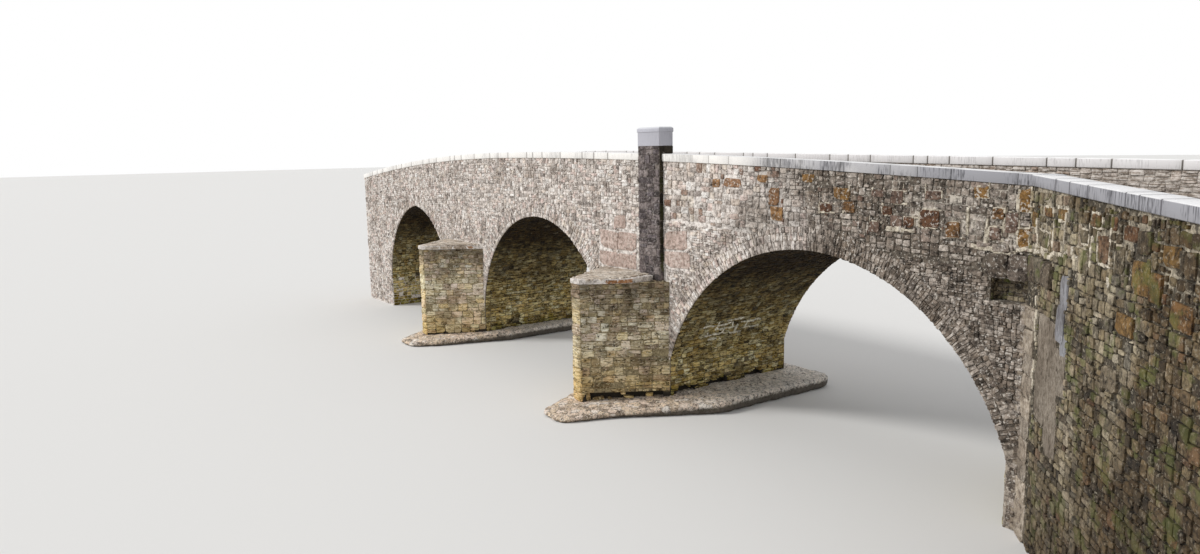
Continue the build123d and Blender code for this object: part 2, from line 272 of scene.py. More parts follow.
def rubble_stone(
    name, near_colours, far_colours=None, change=(4.0, 7.4), near_hollow_shade="#3A332D", far_hollow_shade="#746C64",
    lime="#E6DFD4", spots=0.6, bedding=None, levels=(), moss=0.0, stains=0.6, grain=(1.0, 1.0, 1.0),
    onset=(0.56, 0.38), relief=0.018,
):
    """Split rubble stone, each stone with its own colour, which changes along the bridge. bedding is the
    colour of the dark edges of its 25 mm layers. Each of levels is a height where it begins to get dark, one
    where it is fully so, and the colour there. moss grows in patches of 0.3 m. Stains of about a metre run
    over the stones."""
    material, tree, place = start_material(name)
    share, axes = along_bridge(tree, place, change)
    tone = add(tree, "Attribute", attribute_name="tone").outputs["Fac"]
    colour = add(tree, "ValToRGB", {0: tone}, spread(near_colours))
    # dark is the colour of the painted shade in the stone's hollows, near and far
    dark = near_hollow_shade
    if far_colours:
        far = add(tree, "ValToRGB", {0: tone}, spread(far_colours))
        colour = add(tree, "Mix", {0: share, 6: far, 7: colour}, **blended)
        dark = add(tree, "Mix", {0: share, 6: far_hollow_shade, 7: near_hollow_shade}, **blended)
    if bedding:
        flat = add(tree, "Mapping", {"Vector": place, "Scale": (3.5, 3.5, 26.0)})
        layers = add(tree, "TexNoise", {"Vector": flat, "Scale": 1.0, "Detail": 6.0})
        colour = tint(tree, colour, bedding, layers, 0.52, 0.42, mixing=multiplied)
    colour, hollows = weather(tree, place, colour, dark, lime, spots, grain, onset)
    patches = add(tree, "TexNoise", {"Vector": place, "Scale": 2.4, "Detail": 7.0})
    if moss:
        colour = tint(tree, colour, "#5E6430", patches, 0.54, 0.62, moss)
    broad = add(tree, "TexNoise", {"Vector": place, "Scale": 1.3, "Detail": 5.0})
    colour = tint(tree, colour, "#B8B0A8", broad, 0.48, 0.62, stains, multiplied)
    for start, stop, code in levels:
        height = wander(tree, axes[2], patches, 1.6)
        colour = tint(tree, colour, code, height, start, stop, mixing=multiplied)
    return finish_material(material, colour, 0.9, hollows, relief, shine=0.3)


def lime_mortar(
    name, near_code, far_code=None, near_hollow_shade="#5A524C", far_hollow_shade="#8E8680", lime="#E2DACC", inside=None,
    fresh=None, foot=None,
):
    """Old lime mortar with sharp sand, weathered into hollows like the stones it holds, with painted shade in
    them.
    inside is its colour under a vault, away from the bridge's faces. fresh is the colour of the newer
    pointing high up at the near end, which comes and goes in patches of 0.5 m. Under the level foot it is
    nearly black, partly wet and partly painted shade in the pockets washed out there."""
    material, tree, place = start_material(name)
    share, axes = along_bridge(tree, place, (4.0, 7.4))
    colour = add(tree, "Mix", {0: share, 6: far_code or near_code, 7: near_code}, **blended)
    # dark is the colour of the painted shade in the mortar's hollows, near and far
    dark = add(tree, "Mix", {0: share, 6: far_hollow_shade, 7: near_hollow_shade}, **blended)
    if inside:
        reach = add(tree, "Math", {0: axes[1]}, operation="ABSOLUTE")
        under = add(tree, "Math", {0: reach, 1: half_width - 0.005}, operation="LESS_THAN")
        colour = add(tree, "Mix", {0: under, 6: colour, 7: inside}, **blended)
    if fresh:
        patches = add(tree, "TexNoise", {"Vector": place, "Scale": 1.9, "Detail": 6.0})
        along = add(tree, "MapRange", {0: axes[0], 1: 6.0, 2: 9.0, 3: -0.6, 4: 0.0})
        high = add(tree, "MapRange", {0: axes[2], 1: 5.1, 2: 5.5, 3: -0.6, 4: 0.0})
        zone = add(tree, "Math", {0: along, 1: high}, operation="ADD")
        zone = add(tree, "Math", {0: zone, 1: patches}, operation="ADD")
        colour = tint(tree, colour, fresh, zone, 0.46, 0.58)
    colour, hollows = weather(tree, place, colour, dark, lime, 0.15 if inside else 0.6)
    if foot:
        # Painted shade, partly wet, below the level foot
        colour = tint(tree, colour, "#221E18", axes[2], foot + 0.05, foot - 0.05, 0.96)
    return finish_material(material, colour, 0.95, hollows, 0.015)


def dressed_stone(
    name, side_code, bleached_and_highlit_top_code, stain_code, stain, far_code=None, run=None, span=(0, 0), joint_grime_and_shade_code="#3E3B38"
):
    """Sawn and weathered coping stone: blue-grey sides with dark vertical drips, and tops nearly white,
    partly bleached and partly a painted highlight of light from above. Drips are about 25 mm wide and 0.3 m
    long. Between the two ends of span, faces turned along run are dark, partly with grime and partly as
    painted shade in the open joints, so that the joints show as lines, less so at the far end of the bridge."""
    material, tree, place = start_material(name)
    normal = add(tree, "NewGeometry").outputs["Normal"]
    facing = add(tree, "SeparateXYZ", {0: normal}).outputs[2]
    stretched = add(tree, "Mapping", {"Vector": place, "Scale": (34.0, 34.0, 5.0)})
    drips = add(tree, "TexNoise", {"Vector": stretched, "Scale": 1.0, "Detail": 4.0})
    broad = add(tree, "TexNoise", {"Vector": place, "Scale": 1.1, "Detail": 3.0})
    both = add(tree, "Math", {0: drips, 1: broad}, operation="ADD")
    dark = add(tree, "MapRange", {0: both, 1: 1.0, 2: 1.24, 4: stain})
    share, axes = along_bridge(tree, place, (3.0, 9.0))
    amount = add(tree, "MapRange", {0: share, 3: 0.35})
    dark = add(tree, "Math", {0: dark, 1: amount}, operation="MULTIPLY")
    clean = add(tree, "Mix", {0: share, 6: far_code or side_code, 7: side_code}, **blended)
    side = add(tree, "Mix", {0: dark, 6: clean, 7: stain_code}, **blended)
    bloom = add(tree, "TexNoise", {"Vector": place, "Scale": 30.0, "Detail": 5.0})
    # Tops lighter than sides by which way they face: partly bleaching, partly painted highlight
    top = tint(tree, bleached_and_highlit_top_code, side_code, bloom, 0.35, 0.7, 0.3)
    colour = tint(tree, side, top, facing, 0.3, 0.8)
    if run:
        # Faces turned along run, in the open joints, get painted shade, partly grime
        along = add(tree, "VectorMath", {0: normal, 1: run}, operation="DOT_PRODUCT")
        along = add(tree, "Math", {0: along}, operation="ABSOLUTE")
        end = add(tree, "MapRange", {0: along, 1: 0.14, 2: 0.4, 4: 0.95})
        middle, half = (span[0] + span[1]) / 2, (span[1] - span[0]) / 2
        within = add(tree, "Math", {0: axes[0], 1: middle, 2: half}, operation="COMPARE")
        end = add(tree, "Math", {0: end, 1: within}, operation="MULTIPLY")
        grime_and_shade_in_joints = add(tree, "Mix", {0: share, 6: "#A8A29C", 7: joint_grime_and_shade_code}, **blended)
        colour = add(tree, "Mix", {0: end, 6: colour, 7: grime_and_shade_in_joints}, **blended)
    return finish_material(material, colour, 0.82, bloom, 0.003, 0.5)


def worn_concrete(name, base_code, speck_code, wet_and_shade_code):
    """Worn apron of lime concrete and cobbles of 0.2 m, pinkish beige, dark at its foot, partly wet and
    partly painted shade.
    """
    material, tree, place = start_material(name)
    axes = add(tree, "SeparateXYZ", {0: place}).outputs
    wobble = add(tree, "TexNoise", {"Vector": place, "Scale": 6.0, "Detail": 4.0}).outputs["Color"]
    bent = add(tree, "VectorMath", {0: wobble, 1: (0.16, 0.16, 0.16), 2: place}, operation="MULTIPLY_ADD")
    cobbles = add(tree, "TexVoronoi", {"Vector": bent, "Scale": 4.6}).outputs["Color"]
    edges = add(tree, "TexVoronoi", {"Vector": bent, "Scale": 4.6}, feature="DISTANCE_TO_EDGE")
    hue = add(tree, "SeparateColor", {0: cobbles})
    hues = [(0.0, "#8C7A68"), (0.35, base_code), (0.7, "#E4CDB8"), (1.0, "#FCF2E6")]
    gap = add(tree, "MapRange", {0: edges, 1: 0.045, 2: 0.0, 4: 0.75})
    colour = add(tree, "Mix", {0: gap, 6: add(tree, "ValToRGB", {0: hue}, hues), 7: speck_code}, **blended)
    colour = tint(tree, colour, "#E4E0D8", axes[1], -2.6, -0.6, 0.7)
    colour, hollows = weather(tree, place, colour, speck_code, "#FFF4E2", 0.8, (1.3, 1.3, 1.3), (0.52, 0.40))
    start = -apron_slope * apron_slope_start
    fall = add(tree, "Math", {0: axes[1], 1: -apron_slope, 2: start}, operation="MULTIPLY_ADD")
    fall = add(tree, "Math", {0: fall, 1: 0.0}, operation="MAXIMUM")
    level = add(tree, "Math", {0: wander(tree, axes[2], hollows, 0.2), 1: fall}, operation="ADD")
    # Painted shade, partly wet, down the apron's sides near its foot
    colour = tint(tree, colour, wet_and_shade_code, level, apron_top - 0.08, apron_top - 0.16, 0.92)
    height = add(tree, "Math", {0: gap, 1: -0.5, 2: hollows}, operation="MULTIPLY_ADD")
    return finish_material(material, colour, 0.85, height, 0.02)


def rolled_chippings(name, base_code, chip_code):
    """Rolled stone chippings of 10 mm in a grey bound surface."""
    material, tree, place = start_material(name)
    cells = add(tree, "TexVoronoi", {"Vector": place, "Scale": 95.0})
    broad = add(tree, "TexNoise", {"Vector": place, "Scale": 0.9, "Detail": 5.0})
    shade = add(tree, "ValToRGB", {0: broad}, [(0.3, "#B8B4AC"), (0.7, "#FFFFFF")])
    colour = tint(tree, chip_code, base_code, cells, 0.1, 0.6)
    colour = add(tree, "Mix", {0: 1.0, 6: colour, 7: shade}, **multiplied)
    return finish_material(material, colour, 0.92, cells, 0.004, 0.6)


# Stone colours in order of tone. The last two of each face list are the rusty and the ochre stones.
pale_stones = "#9C918A #F0E5DB #FDF6EE #B6ABA2 #F0E4DA #FFFBF5 #E8D2C8 #F4E9DA #94705C #AE845A".split()
brown_stones = "#4E453C #8C7E70 #AEA194 #665A4E #BDB1A5 #8E7F70 #72675E #CBBFB2 #644432 #926E3E".split()
wing_stones = "#4C443A #8E8064 #A89A7E #665A4C #B8AB90 #8E7E62 #6C665A #C4B8A0 #70503A #86683E".split()
dark_wing_stones = "#342C22 #5C4C36 #6C5A42 #403628 #7C6A4E #5C482C #463C30 #807054 #6A482E #7E6034".split()
river_stones = "#8E7E68 #F6E8C8 #F0DECE #C8B692 #FFFAE8 #F0DCAC #EAD2B8 #7E705C #F8E8C2 #ECCE98".split()
far_river_stones = "#B8A890 #FFF6D8 #FCEADC #E0D0AC #FFFDF2 #FBE4B0 #F6E0CA #A89880 #FFF6D2 #F6D094".split()
vault_stones = "#74643A #F4DC96 #BCA05A #FFF2B8 #DCBE78 #FFF8D0 #8E7A46 #F8C470".split()
slate_stones = "#B0A69E #DCD2C8 #F0E8E0 #C8BEB4 #F6EEE6 #D2BEAE #E8DED4".split()
dark_stones = "#443C38 #72686A #8A7E7B #524846 #968A86 #60554F".split()
slab_stones = "#C8B8A4 #E2D8CA #D8C8B6 #EFE8DC #D2BEA8 #B98A62 #B07A50".split()
squared_tones = "#C0ACA2 #DCCABF #CDB6AA #D6C8BE".split()
quoin_stones = "#A09484 #B8AA98 #94897B #AC9E8C".split()

face_stone = rubble_stone("split_rubble_stone", brown_stones, pale_stones, far_hollow_shade="#6C645E")
wing_stone = rubble_stone(
    "mossy_rubble_stone", dark_wing_stones, wing_stones, (13.4, 15.0), near_hollow_shade="#2E2822",
    far_hollow_shade="#463E38", lime="#C8BCA6", spots=0.3, levels=[(3.8, -0.5, "#9A9084")], moss=0.5,
)
moss_stone = rubble_stone("moss_grown_stone", wing_stones, moss=0.95, spots=0.2)
river_stone = rubble_stone(
    "river_worn_stone", river_stones, far_river_stones, (-8.0, -4.0), near_hollow_shade="#463C2A", far_hollow_shade="#766A50",
    lime="#FFF8DE", spots=0.75, bedding="#CCC4B0", levels=[(1.8, 0.4, "#FAEECC"), (2.4, 3.8, "#888078")],
    moss=0.2, stains=0.7, grain=(0.8, 0.8, 1.5), onset=(0.48, 0.42), relief=0.028,
)
# The vault's stones are damp at their foot and darker higher up the vault: that darkening is painted shade
# under the arch, partly soot
vault_stone = rubble_stone(
    "vault_slab_stone", vault_stones, near_hollow_shade="#40361E", lime="#FFF4C4", spots=0.5, bedding="#A89E7A",
    levels=[(0.55, 0.35, "#C4C498"), (1.1, 4.0, "#42361C")], grain=(0.8, 0.6, 1.6), onset=(0.50, 0.42),
    relief=0.026,
)
slate_stone = rubble_stone(
    "thin_bedded_stone", slate_stones, near_hollow_shade="#A8A098", bedding="#C0B8B0", stains=0.1
)
pilaster_stone = rubble_stone("dark_quoin_stone", dark_stones, lime="#B8B0AC", spots=0.45)
# The pilaster's sides: the same dark stones as its front, darker partly with moss and partly as painted shade
shaded_stone = rubble_stone(
    "moss_stained_stone_with_painted_shade", dark_stones, lime="#8E8A78", spots=0.2, levels=[(4.0, 4.5, "#8E8A70")], moss=0.7
)
squared_stone = rubble_stone("squared_stone", squared_tones, near_hollow_shade="#8A827A", spots=0.5, stains=0.4)
ledge_stone = rubble_stone("capping_slab_stone", slab_stones, near_hollow_shade="#8E8478")
quoin_stone = rubble_stone("dressed_quoin_stone", quoin_stones, near_hollow_shade="#7A7068", spots=0.3)

face_mortar = lime_mortar("lime_mortar", "#A89C8E", "#F0E8E0", far_hollow_shade="#7A726C")
# The pointed and wing mortars are dark partly as painted shade in their joints, where the light falls too
# squarely to cast any
pointed_mortar = lime_mortar(
    "pointed_mortar", "#665C50", "#F0E8E0", near_hollow_shade="#3E3830", far_hollow_shade="#7A726C", fresh="#C8BEB0"
)
wing_mortar = lime_mortar("wing_mortar", "#4A4132", near_hollow_shade="#2A241C", lime="#C8BCA6", fresh="#B8AC96")
# Under the vault this mortar is dark brown: painted shade under the arch
vault_mortar = lime_mortar("vault_mortar", "#A89C8E", "#D8CCC0", inside="#4A4028")
# The pier mortar, and the river mortar below, go nearly black at their feet: partly wet, partly painted shade
# in the washed-out pockets
pier_mortar = lime_mortar(
    "pier_mortar", "#A89C8E", "#F0E8E0", "#4A4230", "#5E5644", lime="#D0C4A8", inside="#8A7E60", foot=0.55
)
# The river mortar's nearly black hollows are painted shade in its joints
river_mortar = lime_mortar("river_mortar", "#A09270", near_hollow_shade="#1E1A12", lime="#DCCEA8", foot=0.45)
vein_mortar = lime_mortar("lime_veins", "#FFFAE6", near_hollow_shade="#D8D0B8", lime="#FFFFFF")
slate_mortar = lime_mortar("thin_bed_mortar", "#C8BEB4", near_hollow_shade="#7E766E")
dark_mortar = lime_mortar("dark_mortar", "#8A8078", lime="#A8A09C")
pale_mortar = lime_mortar("fresh_pointing", "#CFC4B0", near_hollow_shade="#665C50", lime="#F0E8D8")

# Side, top and stain colours of the copings (the tops partly a painted highlight), how strong the stains are,
# and the sides' colour at the far end
coping_look = ("#97969A", "#EEECEA", "#454448", 0.9, "#F0ECE6")
pale_look = ("#ECE8E6", "#F4F2F0", "#9E9A98", 0.5)
# Colour painted on the downstream copings' joint faces: shade, partly grime
pale_joint_grime_and_shade = "#A29C96"
bridge_run = (1, 0, 0)
wing_span = (corner_x, corner_x + wing_length * wing_direction.x - 0.1)
coping_stone = dressed_stone(
    "weathered_coping_stone", *coping_look, run=bridge_run, span=(left_end_x + 0.1, corner_x + 0.15)
)
wing_coping_stone = dressed_stone(
    "weathered_wing_coping_stone", *coping_look, run=wing_direction, span=wing_span, joint_grime_and_shade_code="#68666A"
)
pale_span = (left_end_x + 0.1, other_corner_x + 0.15)
pale_coping_stone = dressed_stone(
    "bleached_coping_stone", *pale_look, run=bridge_run, span=pale_span, joint_grime_and_shade_code=pale_joint_grime_and_shade
)
pale_wing_coping_stone = dressed_stone(
    "bleached_wing_coping_stone", *pale_look, run=other_wing_direction, span=wing_span, joint_grime_and_shade_code=pale_joint_grime_and_shade
)
cap_stone = dressed_stone("weathered_cap_stone", "#BAB9C0", "#D4D4D6", "#85858C", 0.5)
old_render = rubble_stone(
    "old_lime_render", ["#857B6E", "#978C7E"], near_hollow_shade="#8A8278", lime="#B0A698", grain=(1.6, 1.6, 0.8),
    relief=0.006,
)
grey_render = rubble_stone(
    "smooth_grey_render", ["#878689", "#929194"], near_hollow_shade="#A09C9C", lime="#B0B0B4", grain=(2.0, 2.0, 0.4),
    relief=0.004,
)
apron_stone = worn_concrete("water_worn_apron", "#F2DABC", "#463A2C", "#4A443A")
road_stone = rolled_chippings("rolled_chippings", "#6A6762", "#9A958C")

# Stones. Twelve split stones are the patterns for all others, each of which is a point with a place, a turn,
# a size and a tone until its piece is finished.
bpy.ops.object.select_all(action="DESELECT")
quarry = bpy.data.collections.new("quarry")
bpy.context.scene.collection.children.link(quarry)


def rough_block(count, cut_corners):
    """One split stone of unit size, made of a cube: corners knocked off, loosened, its face raised."""
    bpy.ops.mesh.primitive_cube_add(size=1)
    stone = bpy.context.object
    stone.name = f"block_{count}"
    bpy.ops.object.mode_set(mode="EDIT")
    bpy.ops.mesh.select_all(action="DESELECT")
    mesh = bmesh.from_edit_mesh(stone.data)
    depth_edges = [e for e in mesh.edges if abs(e.verts[0].co.y - e.verts[1].co.y) > 0.9]
    for edge in random.sample(depth_edges, cut_corners):
        edge.select_set(True)
    bmesh.update_edit_mesh(stone.data)
    bpy.ops.mesh.bevel(offset=random.uniform(0.14, 0.26), segments=1)
    bpy.ops.mesh.select_all(action="SELECT")
    bpy.ops.transform.vertex_random(offset=0.085, seed=count)
    bpy.ops.mesh.select_all(action="DESELECT")
    mesh = bmesh.from_edit_mesh(stone.data)
    mesh.normal_update()
    for face in mesh.faces:
        face.select_set(face.normal.y < -0.8)
    bmesh.update_edit_mesh(stone.data)
    bpy.ops.mesh.inset(thickness=random.uniform(0.08, 0.14), depth=random.uniform(0.05, 0.12))
    bpy.ops.transform.vertex_random(offset=0.03, seed=count + 50)
    bpy.ops.object.mode_set(mode="OBJECT")
    for owner in stone.users_collection:
        owner.objects.unlink(stone)
    quarry.objects.link(stone)


block_count = 12
for count in range(block_count):
    rough_block(count, (1, 2, 3, 1)[count % 4])

setting = bpy.data.node_groups.new("set_stones", "GeometryNodeTree")
setting.interface.new_socket("Geometry", in_out="INPUT", socket_type="NodeSocketGeometry")
setting.interface.new_socket("Geometry", in_out="OUTPUT", socket_type="NodeSocketGeometry")
points = add(setting, "NodeGroupInput")
picking = {"Collection": quarry, "Separate Children": True, "Reset Children": True}
blocks = add(setting, "GeometryNodeCollectionInfo", picking)
shape, turn, size = (
    add(setting, "GeometryNodeInputNamedAttribute", {"Name": key}, data_type=kind)
    for key, kind in (("shape", "INT"), ("turn", "FLOAT_VECTOR"), ("size", "FLOAT_VECTOR"))
)
turned = add(setting, "FunctionNodeEulerToRotation", {0: turn})
placing = {
    "Points": points, "Instance": blocks, "Pick Instance": True, "Instance Index": shape, "Rotation": turned,
    "Scale": size,
}
placed = add(setting, "GeometryNodeInstanceOnPoints", placing)
add(setting, "NodeGroupOutput", {0: add(setting, "GeometryNodeRealizeInstances", {0: placed})})


def set_stone(
    pile, surface, u_low, u_high, v_low, v_high, proud=0.015, joint=0.012, depth=0.10, tone=None, tones=0.85,
    tilt=2.5,
):
    """Adds one stone to a pile: it fills a patch of a surface, less its joint, and stands a little proud. Its
    tone is given, or random up to tones, and its turn is random up to tilt, in degrees."""
    u, v, step = (u_low + u_high) / 2, (v_low + v_high) / 2, 0.01
    along = (surface(u + step, v) - surface(u - step, v)).normalized()
    rise = (surface(u, v + step) - surface(u, v - step)).normalized()
    out = along.cross(rise).normalized()
    spin = Matrix.Rotation(math.radians(random.uniform(-tilt, tilt)), 3, "Y")
    columns = Matrix((along, -out, along.cross(-out))).transposed() @ spin
    proud = proud * random.uniform(0.4, 1.6)
    place = surface(u, v) + out * (proud - depth / 2)
    size = (max(0.02, u_high - u_low - joint), depth, max(0.015, v_high - v_low - joint))
    pile.append((place, columns.to_euler(), size, random.random() * tones if tone is None else tone))


def fill(pile, surface, patch, keep, largest, longest=2.4, lift=(0.24, 0.40), gaps=0.012, **finish):
    """Fills a patch of a surface with rubble where keep says so: rough courses, as high as lift says, split
    again and again until each stone has a face of largest at most. longest is how long a stone may be for its
    height, so a low value stands them on edge. gaps is the share of stones that have fallen out."""
    u_low, u_high, v_low, v_high = patch
    stretch = 0.9 * max(lift)
    edge_size = 0.16

    def split(a, b, c, d, limit):
        wide, high = b - a, d - c
        corners = [(a, c), (b, c), (a, d), (b, d), ((a + b) / 2, (c + d) / 2)]
        inside = sum(keep(surface(u, v)) for u, v in corners)
        if inside == 0:
            return
        if inside == 5 and wide * high < limit and wide < longest * high * 1.4:
            if random.random() > gaps:
                set_stone(pile, surface, a, b, c, d, **finish)
            return
        if inside < 5 and max(wide, high) < edge_size:
            if inside >= 4:
                set_stone(pile, surface, a, b, c, d, **finish)
            return
        share = random.uniform(0.36, 0.64)
        limit = largest * random.uniform(0.45, 1.0)
        if wide > longest * high * random.uniform(0.55, 1.0):
            cut = a + wide * share
            split(a, cut, c, d, limit)
            split(cut, b, c, d, limit)
        else:
            cut = c + high * share
            split(a, b, c, cut, limit)
            split(a, b, cut, d, limit)

    v = v_low
    while v < v_high - 0.01:
        top = v + random.uniform(*lift)
        if v_high - top < 0.6 * lift[0]:
            top = v_high
        u = u_low
        while u < u_high - 0.01:
            end = u + random.uniform(0.8, 1.6) * stretch
            if u_high - end < 0.4 * stretch:
                end = u_high
            split(u, end, v, top, largest * random.uniform(0.45, 1.0))
            u = end
        v = top


def row(pile, surface, u_low, u_high, foot, wide, high, **finish):
    """One row of stones side by side, each as wide and as high as it comes."""
    u = u_low
    while u < u_high - 0.02:
        end = u + random.uniform(*wide)
        if u_high - end < 0.6 * wide[0]:
            end = u_high
        set_stone(pile, surface, u, end, foot, foot + random.uniform(*high), **finish)
        u = end


def finish_stones(name, pile, material):
    """Makes one piece of all the stones in a pile."""
    mesh = bpy.data.meshes.new(name)
    mesh.from_pydata([place for place, _, _, _ in pile], [], [])
    for key, kind, field, values in (
        ("turn", "FLOAT_VECTOR", "vector", [c for _, euler, _, _ in pile for c in euler]),
        ("size", "FLOAT_VECTOR", "vector", [c for _, _, size, _ in pile for c in size]),
        ("tone", "FLOAT", "value", [tone for _, _, _, tone in pile]),
        ("shape", "INT", "value", [random.randrange(block_count) for _ in pile]),
    ):
        mesh.attributes.new(key, kind, "POINT").data.foreach_set(field, values)
    piece = bpy.data.objects.new(name, mesh)
    bpy.context.scene.collection.objects.link(piece)
    modifier = piece.modifiers.new("stones", "NODES")
    modifier.node_group = setting
    bpy.context.view_layer.objects.active = piece
    bpy.ops.object.modifier_apply(modifier="stones")
    for key in ("turn", "size", "shape"):
        if key in piece.data.attributes:
            piece.data.attributes.remove(piece.data.attributes[key])
    piece.data.materials.clear()
    piece.data.materials.append(material)
    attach(piece, "root")


def mirrored(surface):
    """The same surface on the other face of the bridge, still facing outwards. Its u runs the other way."""

    def other(u, v):
        point = surface(-u, v)
        return Vector((point.x, -point.y, point.z))

    return other


def upright(x, y, out_x, out_y):
    """A vertical plane through a place. v is the height, and u runs to the right as one looks at it."""
    along = Vector((-out_y, out_x, 0)).normalized()
    origin = Vector((x, y, 0))
    return lambda u, v: origin + along * u + UP * v


def hump(x):
    """Height of the courses as a share of that at the crest, since they follow the coping."""
    return (coping_level(x) - coping_thickness) / (crest_level - coping_thickness)


def upstream_face(u, v):
    """The upstream face with courses that follow the coping."""
    return Vector((u, -half_width, v * hump(u)))


def flat_face(u, v):
    """The same face with level courses."""
    return Vector((u, -half_width, v))


def downstream_face(u, v):
    """The downstream face, whose u runs the other way."""
    lift = (other_level(-u) - coping_thickness) / (crest_level - coping_thickness)
    return Vector((-u, half_width, v * lift))


wall_top = crest_level - coping_thickness
wing_origin = Vector((corner_x, -half_width, 0))
other_wing_origin = Vector((other_corner_x, half_width, 0))
wing_level = coping_level(corner_x)


def wing_top(distance, level=wing_level, drop=coping_thickness):
    """Height of a wing wall under its coping, or further down."""
    return level - wing_fall * distance / wing_length - drop


def upstream_wing(u, v):
    return wing_origin + wing_direction * u + UP * v


def ring_surface(arc, y):
    """Polar surface on a face: u along the arch from its left foot, v out from its underside."""
    cx, cz, radius, first, _ = arc

    def at(u, v):
        angle = first - u / radius
        return Vector((cx + (radius + v) * math.cos(angle), y, cz + (radius + v) * math.sin(angle)))

    return at


def barrel_surface(arc):
    """Underside of a vault: u across the bridge, v along the arch from its left foot."""
    cx, cz, radius, first, _ = arc

    def at(u, v):
        angle = first - v / radius
        return Vector((cx + radius * math.cos(angle), u, cz + radius * math.sin(angle)))

    return at


def clear_of_arches(point):
    level = coping_level(point.x) if point.y < 0 else other_level(point.x)
    return 0 < point.z < level - coping_thickness + 0.001 and not in_arch(point.x, point.z, ring_depth - 0.06)


def upstream_wall(point):
    """Where the upstream face shows its own stones: not behind a cutwater, its capping or the pilaster."""
    x, z = point.x, point.z
    for pier_x in (0, far_pier_x):
        if abs(x - pier_x) < half_pier and z < capping_top:
            return False
    if not clear_of_marks(x, z, marked_stones + squared_stones + rough_blocks):
        return False
    if pilaster_low[0] < x < pilaster_high[0] and z > cutwater_top:
        return False
    start_x, start_z = recess_low[0] + ragged(z) / 2, recess_low[1] + ragged(x) / 2
    if start_x < x < recess_high[0] and start_z < z < recess_high[1]:
        return False
    return clear_of_arches(point)


def ragged(along):
    """How far a broken edge wanders up and down."""
    return 0.05 * math.sin(13 * along) + 0.04 * math.sin(29 * along + 1)


def anywhere(point):
    return True


# Large stones that stand out of the near part of the upstream face: along, level, width, height and tone
rust, ochre, brown, red_brown = 0.94, 1.0, 0.9, 0.87
marked_stones = (
    (3.49, 6.45, 0.28, 0.22, ochre), (4.10, 6.47, 0.62, 0.22, rust), (5.15, 6.59, 0.33, 0.18, ochre),
    (5.53, 6.17, 0.34, 0.42, rust), (5.62, 5.76, 0.38, 0.34, ochre), (6.58, 6.62, 0.38, 0.20, ochre),
    (6.70, 6.14, 0.38, 0.40, 0.55), (7.12, 5.97, 0.36, 0.20, brown), (7.56, 6.30, 0.42, 0.26, ochre),
    (7.77, 6.02, 0.30, 0.24, rust), (8.46, 5.62, 0.26, 0.22, red_brown),
    (8.52, 6.34, 0.30, 0.16, red_brown), (8.76, 5.98, 0.24, 0.18, brown),
    (9.01, 6.27, 0.28, 0.26, red_brown), (8.99, 5.76, 0.28, 0.25, red_brown),
    (9.31, 5.77, 0.24, 0.20, brown), (9.77, 5.86, 0.44, 0.36, brown), (9.85, 6.33, 0.36, 0.17, red_brown),
    (10.31, 5.68, 0.28, 0.30, rust), (10.87, 6.43, 0.28, 0.22, ochre), (11.18, 5.66, 0.24, 0.24, red_brown),
    (11.24, 6.04, 0.22, 0.20, rust), (11.50, 5.88, 0.24, 0.38, red_brown), (11.73, 6.30, 0.22, 0.40, ochre),
    (11.73, 5.62, 0.22, 0.36, ochre),
)
# The same on the upstream wing wall, measured from its corner
wing_marks = (
    (0.25, 5.98, 0.30, 0.28, ochre), (0.93, 6.17, 0.36, 0.18, rust), (1.62, 6.18, 0.46, 0.22, ochre),
    (0.77, 5.68, 0.60, 0.30, 0.05), (2.62, 5.92, 0.34, 0.22, 0.05), (3.07, 6.20, 0.34, 0.20, rust),
    (3.36, 5.80, 0.42, 0.42, red_brown), (3.90, 5.72, 0.34, 0.40, 0.05), (4.21, 6.12, 0.44, 0.22, brown),
    (4.66, 6.04, 0.42, 0.32, 0.3), (4.58, 5.58, 0.50, 0.44, ochre), (5.06, 5.52, 0.32, 0.40, rust),
    (5.38, 5.96, 0.44, 0.26, ochre), (5.75, 5.28, 0.56, 0.34, rust), (4.23, 4.88, 0.56, 0.30, ochre),
    (3.89, 4.05, 0.56, 0.34, 0.3),
)
# Large squared stones beside the pilaster, and the rough blocks that jut out over the recess
squared_stones = (
    (-1.42, 4.03, 0.92, 0.44, 0.66), (-0.47, 4.03, 0.98, 0.44, 0.62), (-1.36, 4.62, 0.94, 0.56, 0.62),
    (-0.42, 4.62, 0.94, 0.56, 0.68), (1.86, 4.83, 1.04, 0.52, 0.64), (1.88, 4.29, 1.08, 0.44, 0.60),
    (-0.75, 5.20, 0.62, 0.40, 0.64),
)
rough_blocks = ((11.26, 5.06, 0.42, 0.46, 0.34), (11.67, 5.07, 0.38, 0.46, 0.64))
wing_blocks = ((0.20, 5.10, 0.42, 0.48, 0.33), (0.66, 5.12, 0.46, 0.44, 0.64), (1.12, 5.12, 0.42, 0.40, 0.33))


def clear_of_marks(along, level, marks):
    return not any(abs(along - at) < wide / 2 and abs(level - z) < high / 2 for at, z, wide, high, _ in marks)


def smear(pointing, surface, left, right, low, top):
    """Broken smears of pale pointing along some edges of a stone, in lumps of uneven length and width."""
    for side in range(4):
        if random.random() < 0.4:
            continue
        start, end = ((left, right), (low, top))[side % 2]
        edge = (low, right, top, left)[side]
        start += random.uniform(-0.04, 0.08)
        while start < end:
            stop = start + random.uniform(0.05, 0.18)
            rim = random.uniform(0.012, 0.06)
            span = (start, stop, edge - rim / 2, edge + rim / 2)
            if side % 2:
                span = (edge - rim / 2, edge + rim / 2, start, stop)
            set_stone(pointing, surface, *span, proud=0.022, joint=0, depth=0.06, tilt=9)
            start = stop


